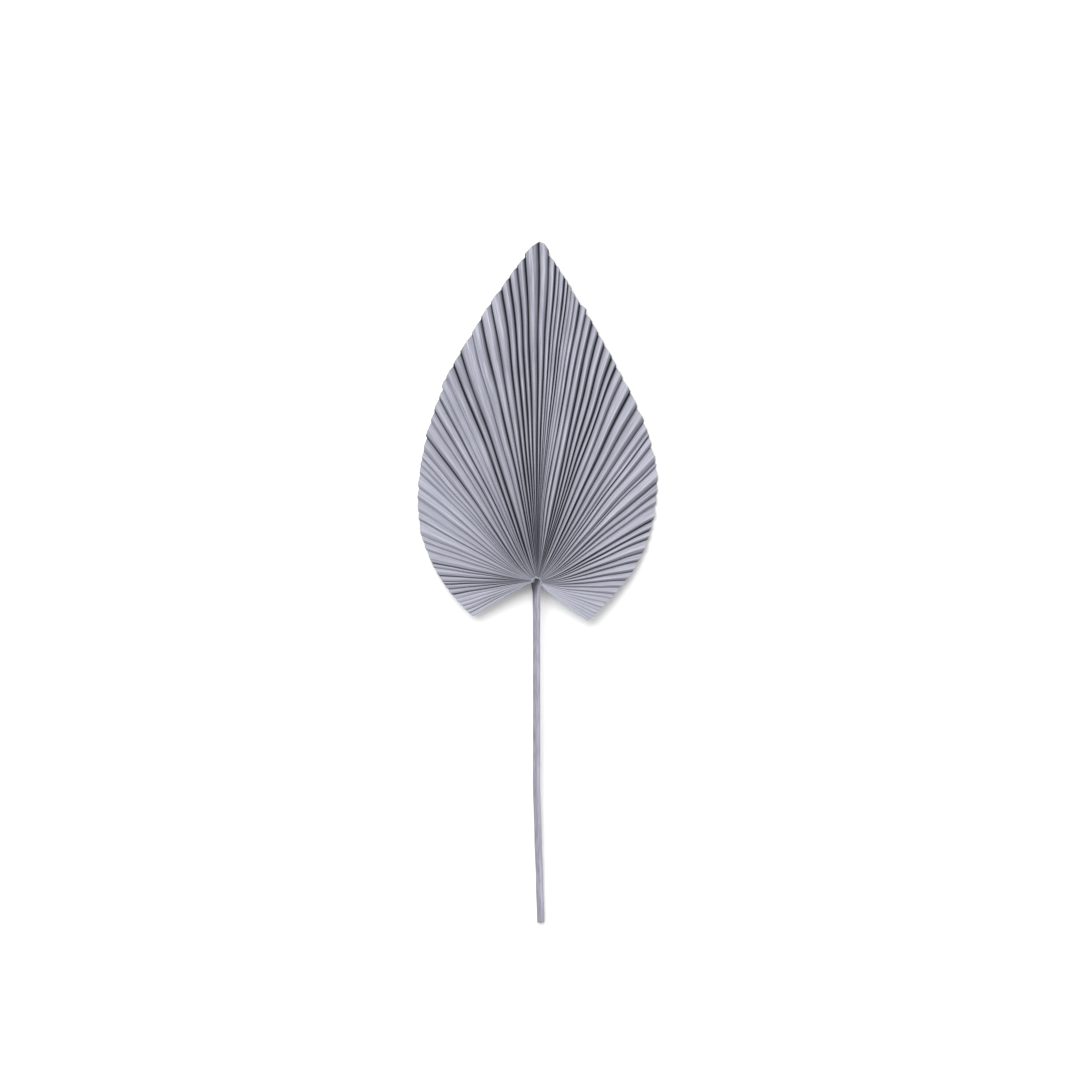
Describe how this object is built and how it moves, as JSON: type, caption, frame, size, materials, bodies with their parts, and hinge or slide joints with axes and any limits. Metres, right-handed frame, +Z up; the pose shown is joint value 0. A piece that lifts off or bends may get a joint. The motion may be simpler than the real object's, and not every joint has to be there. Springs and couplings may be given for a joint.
{
  "type": "fan palm leaf",
  "caption": "Dried fan palm leaf, cut to a pointed spear shape and spray painted grey-lilac, with radiating pleats and a long bare stalk, lying face up.",
  "frame": {"origin": "bottom centre of the whole leaf's box, on the surface that it lies on", "axes": "+Y from the stalk's cut end to the blade's tip, +X to the leaf's right seen from its face, +Z up out of its face"},
  "size_m": [0.197, 0.5598, 0.0186],
  "materials": {
    "painted_leaf": "matte grey-lilac spray paint on dried, fibrous palm leaf",
    "painted_stalk": "matte grey-lilac spray paint on a dry, fine-grained leaf stalk"
  },
  "bodies": {
    "root": {"leaf_blade": "painted_leaf", "leaf_stalk": "painted_stalk"}
  },
  "joints": []
}
